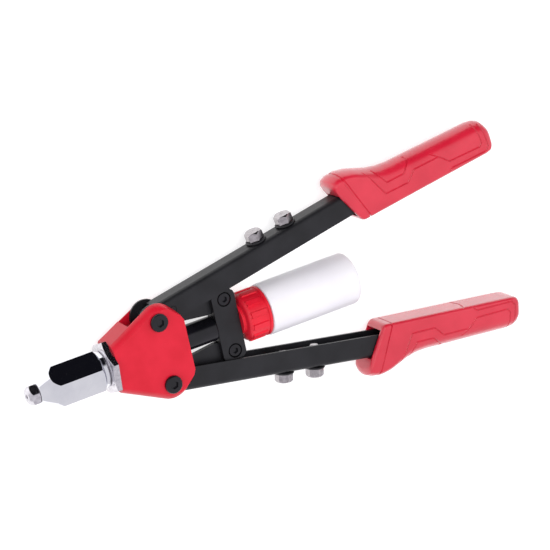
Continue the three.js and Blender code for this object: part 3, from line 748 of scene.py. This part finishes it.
# ---------------------------------------------------------------- crosspiece, tube and links
def crosspiece():
    front, rear = YOKE_X
    corner = 5.0
    fore, aft, out = front + corner, rear - corner, YOKE_HALF_Y - corner
    outline = []
    for cx, cy, start in ((fore, -out, 180), (aft, -out, 270), (aft, out, 0), (fore, out, 90)):
        outline += arc(cx, cy, corner, start, start + 90, 8)
    made = prism("crosspiece_black", outline, -YOKE_HALF_Z, YOKE_HALF_Z)
    made = boolean(made, round_bar("bore", SPIGOT_R + GAP, front - 1, rear + 1))
    for side in (1, -1):
        inner, outer = side * CLEVIS_Y, side * (YOKE_HALF_Y + 11)
        slot = [(front - 1, inner), (rear + 1, inner), (rear + 1, outer), (front - 1, outer)]
        made = boolean(made, prism("clevis", slot, -LINK_HALF_Z - GAP, LINK_HALF_Z + GAP))
        for radius, low, high in ((3.2, -YOKE_HALF_Z - 1, 20), (5.9, YOKE_HALF_Z - SCREW_SINK, 20)):
            hole = [(x + YOKE_PIN[0], y + side * YOKE_PIN[1]) for x, y in disc(radius, 48)]
            made = boolean(made, prism("hole", hole, low, high))
    bevel(made, 0.7, 3, 40)
    finish_piece(smooth(made, 40), "yoke", "black_steel", BLACK, "crosspiece")


def yoke_screw(name, side):
    seat, foot, shank = YOKE_HALF_Z - SCREW_SINK + GAP, 0.4 - YOKE_HALF_Z, 2.9
    centre = (YOKE_PIN[0], side * YOKE_PIN[1])
    profile = [(0.0, foot), (shank, foot), (shank, seat), (5.2, seat), (5.2, YOKE_HALF_Z - 0.9),
               (4.9, YOKE_HALF_Z - 0.3), (4.3, YOKE_HALF_Z - 0.05), (0.0, YOKE_HALF_Z - 0.05)]
    rings = []
    for i in range(40):
        a = 2 * math.pi * i / 40
        rings.append([(centre[0] + q * math.cos(a), centre[1] + q * math.sin(a), z) for q, z in profile])
    made = loft(name + "_black", rings, closed=True)
    outline = [(x + centre[0], y + centre[1]) for x, y in hexagon(4.6, 0.4)]
    made = boolean(made, prism("socket", outline, seat + 0.9, YOKE_HALF_Z + 1))
    bevel(made, 0.2, 2, 40)
    finish_piece(smooth(made, 30), "yoke", "black_steel", BLACK_GLOSS, name)


def pull_tube():
    bore = MANDREL_R
    profile = [(TUBE_FRONT, bore), (TUBE_FRONT, 7.6), (CASE_REAR + GAP, 7.6), (CASE_REAR + GAP, TUBE_R),
               (YOKE_X[0] - GAP - 1.2, TUBE_R), (YOKE_X[0] - GAP, TUBE_R - 1.2), (YOKE_X[0] - GAP, SPIGOT_R),
               (COLLAR_X[0] + 3, SPIGOT_R), (COLLAR_X[0] + 3, bore)]
    finish_piece(smooth(turned("pull_tube_black", profile)), "yoke", "black_gloss", BLACK_GLOSS, "pull_tube")


def refined(node, body, slot, material, width, angle=30):
    """A CAD node's own shape with softened edges."""
    made = from_cad(node, node + "_finished")
    bevel(made, width, 2, angle)
    finish_piece(smooth(made, angle), body, slot, material, node)


# ---------------------------------------------------------------- collar and bottle
def rib_point(x, r, across, angle):
    y = r * math.cos(angle) - across * math.sin(angle)
    z = r * math.sin(angle) + across * math.cos(angle)
    return (x, y, z)


def collar():
    front, rear = COLLAR_X
    base = COLLAR_R - 1.0
    neck_front = YOKE_X[1] + GAP
    neck = 12.6
    profile = [(neck_front, SPIGOT_R + GAP), (neck_front, 12.2), (neck_front + 0.4, neck),
               (front - 0.4, neck), (front, 13.2), (front, base - 3.0), (front + 0.8, base - 1.5),
               (front + 2.0, base - 0.4), (front + 3.4, base),
               (rear - 2.6, base), (rear - 2.3, COLLAR_R), (rear - 0.5, COLLAR_R), (rear, COLLAR_R - 0.5),
               (rear, BOTTLE_MOUTH_R + GAP), (BOTTLE_MOUTH_X - 1.5, BOTTLE_MOUTH_R + GAP),
               (BOTTLE_MOUTH_X - 1.5, SPIGOT_R + GAP)]
    made = turned("bottle_collar_red", profile, 96)
    low, high, top = front + 2.6, rear - 3.6, COLLAR_R - 0.05
    for i in range(COLLAR_RIBS):
        angle = 2 * math.pi * (i + 0.5) / COLLAR_RIBS
        rings = [
            [rib_point(low, base - 1, s * RIB_FOOT_HALF, angle) for s in (-1, 1)]
            + [rib_point(high, base - 1, s * RIB_FOOT_HALF, angle) for s in (1, -1)],
            [rib_point(low + 0.5, top, s * (RIB_FOOT_HALF - 0.4), angle) for s in (-1, 1)]
            + [rib_point(high - 0.4, top, s * (RIB_FOOT_HALF - 0.4), angle) for s in (1, -1)],
        ]
        made = boolean(made, loft("rib", rings), "UNION")
    bevel(made, 0.3, 2, 30)
    finish_piece(smooth(made, 35), "yoke", "red_collar", RED_COLLAR, "bottle_collar")


def bottle():
    front, rear = BOTTLE_X
    r1, r2 = BOTTLE_R
    wall = BOTTLE_WALL

    def rounded(radius, x, r):
        return [(x - radius + radius * math.sin(a), r - radius + radius * math.cos(a))
                for a in (math.pi / 2 * i / 8 for i in range(9))]

    outer = [(BOTTLE_MOUTH_X, BOTTLE_MOUTH_R), (front, BOTTLE_MOUTH_R), (front, r1 - 0.9),
             (front + 0.4, r1 - 0.3), (front + 1.2, r1)]
    outer += rounded(4.0, rear, r2) + [(rear, 6.0), (rear - 0.5, 4.5), (rear - 0.5, 0.0)]
    inner = [(rear - 0.5 - wall, 0.0), (rear - 0.5 - wall, 4.5), (rear - wall, 6.0)]
    inner += list(reversed(rounded(4.0 - wall, rear - wall, r2 - wall)))
    inner += [(front + 3, r1 - wall), (front + 1, BOTTLE_MOUTH_R - wall),
              (BOTTLE_MOUTH_X, BOTTLE_MOUTH_R - wall)]
    made = turned("bottle_milky", outer + inner, 96)
    finish_piece(smooth(made, 35), "bottle", "milky_bottle", MILKY, "bottle")


# ---------------------------------------------------------------- the whole tool
def recolour(node, material):
    """A finer material for a CAD node that stays as it is."""
    cad = frame["nodes"][node]
    cad.data.materials.clear()
    cad.data.materials.append(material)


def build_tool():
    nosepiece()
    barrel()
    lock_nut()
    head()
    crosspiece()
    pull_tube()
    collar()
    bottle()
    for name, side in (("upper", 1), ("lower", -1)):
        body = name + "_arm"
        pivot_bolt(name + "_pivot_bolt", side)
        refined(name + "_pivot_nut", "head", "black_steel", BLACK, 0.4)
        channel(name + "_arm_channel", side)
        grip(name + "_grip", side)
        yoke_screw(name + "_yoke_screw", side)
        refined(name + "_link", name + "_link", "black_steel", BLACK, 0.5)
        for place_name, length, tip in zip(("front", "rear"), BOLTS_L, BOLT_TIPS_W):
            arm_bolt(f"{name}_{place_name}_bolt", body, length, tip, side)
            arm_washer(f"{name}_{place_name}_washer", body, length, side)
            refined(f"{name}_{place_name}_nut", body, "zinc", DULL_ZINC, 0.3)
        refined(name + "_inner_bar", body, "black_steel", BLACK, 0.5)
    for node in ("jaw_case", "jaw_a", "jaw_b", "jaw_pusher", "jaw_spring", "upper_pivot_bush",
                 "lower_pivot_bush"):
        recolour(node, STEEL)
    for node in ("upper_link_pin", "lower_link_pin"):
        recolour(node, BLACK)


# ---------------------------------------------------------------- stage, light and camera
FOCAL_LENGTH_PX, FRAME_PX = 1892.4, 550
CAMERA_YAW, CAMERA_PITCH, CAMERA_ROLL = (math.radians(a) for a in (24.8, 18.13, 11.93))
CAMERA_SHIFT = Vector((92.09, 57.62, 1477.85))  # from the zero point, in the camera's axes, in mm


def camera():
    data = bpy.data.cameras.new("camera")
    data.sensor_width = 36.0
    data.lens = 36.0 * FOCAL_LENGTH_PX / FRAME_PX
    data.clip_end = 20.0
    obj = bpy.data.objects.new("camera", data)
    turn = Matrix.Rotation(CAMERA_ROLL, 3, "Z") @ Matrix.Rotation(CAMERA_PITCH, 3, "X")
    turn = (turn @ Matrix.Rotation(CAMERA_YAW, 3, "Y")).transposed()
    obj.matrix_world = Matrix.Translation(place(*(turn @ CAMERA_SHIFT))) @ turn.to_4x4()
    bpy.context.scene.collection.objects.link(obj)
    bpy.context.scene.camera = obj


def floor():
    size = 6.0
    mesh = bpy.data.meshes.new("floor")
    corners = [(-size, -size, 0), (size, -size, 0), (size, size, 0), (-size, size, 0)]
    mesh.from_pydata(corners, [], [(0, 1, 2, 3)])
    obj = bpy.data.objects.new("floor", mesh)
    obj.location.z = CAD_BOX[0][2] - 0.0005
    bpy.context.scene.collection.objects.link(obj)
    made = Shader("pale_floor", (0.42, 0.42, 0.425), 0.8, Emission_Color=(1, 1, 1, 1), Emission_Strength=0.72)
    made.vary_color(made.noise(6, 2), (0.41, 0.41, 0.415), (0.43, 0.43, 0.435))
    obj.data.materials.append(made.material)


def area_light(name, where, aim, size, power):
    data = bpy.data.lights.new(name, "AREA")
    data.shape = "RECTANGLE"
    data.size, data.size_y = size
    data.energy = power
    obj = bpy.data.objects.new(name, data)
    obj.location = where
    obj.rotation_euler = (Vector(aim) - Vector(where)).to_track_quat("-Z", "Y").to_euler()
    obj.visible_glossy = False  # the polished faces reflect the room alone
    bpy.context.scene.collection.objects.link(obj)


DARK_AZIMUTH, DARK_ELEVATION = math.radians(73), math.radians(14)
DARK_INNER, DARK_OUTER = math.radians(28), math.radians(46)


def world():
    """A pale room with one dark opening low on the far side, which the polished nose reflects."""
    made = bpy.data.worlds.new("studio")
    made.use_nodes = True
    tree = made.node_tree
    background = tree.nodes["Background"]
    background.inputs["Strength"].default_value = 1.0
    where = tree.nodes.new("ShaderNodeTexCoord").outputs["Generated"]
    towards = tree.nodes.new("ShaderNodeVectorMath")
    towards.operation = "DOT_PRODUCT"
    flat, up = math.cos(DARK_ELEVATION), math.sin(DARK_ELEVATION)
    towards.inputs[1].default_value = (flat * math.cos(DARK_AZIMUTH), flat * math.sin(DARK_AZIMUTH), up)
    tree.links.new(where, towards.inputs[0])
    edge = tree.nodes.new("ShaderNodeMapRange")
    edge.interpolation_type = "SMOOTHSTEP"
    edge.inputs["From Min"].default_value = math.cos(DARK_OUTER)
    edge.inputs["From Max"].default_value = math.cos(DARK_INNER)
    tree.links.new(towards.outputs["Value"], edge.inputs["Value"])
    room = tree.nodes.new("ShaderNodeMix")
    room.data_type = "RGBA"
    room.inputs["A"].default_value = (0.75, 0.74, 0.79, 1)
    room.inputs["B"].default_value = (0.006, 0.006, 0.009, 1)
    tree.links.new(edge.outputs["Result"], room.inputs["Factor"])
    seen = tree.nodes.new("ShaderNodeMix")
    seen.data_type = "RGBA"
    seen.inputs["B"].default_value = (1.0, 1.0, 1.0, 1)
    tree.links.new(tree.nodes.new("ShaderNodeLightPath").outputs["Is Camera Ray"], seen.inputs["Factor"])
    tree.links.new(room.outputs["Result"], seen.inputs["A"])
    tree.links.new(seen.outputs["Result"], background.inputs["Color"])
    bpy.context.scene.world = made


build_tool()
camera()
floor()
world()
area_light("key", (-0.25, 0.5, 1.7), (0, 0, 0), (1.2, 0.9), 21)
area_light("fill", (-1.3, 0.2, 1.0), (0, 0, 0), (1.0, 0.8), 4)
area_light("rear", (1.2, 0.0, 1.1), (0, 0, 0), (0.8, 0.8), 5)
bpy.context.scene.view_settings.view_transform = "Standard"
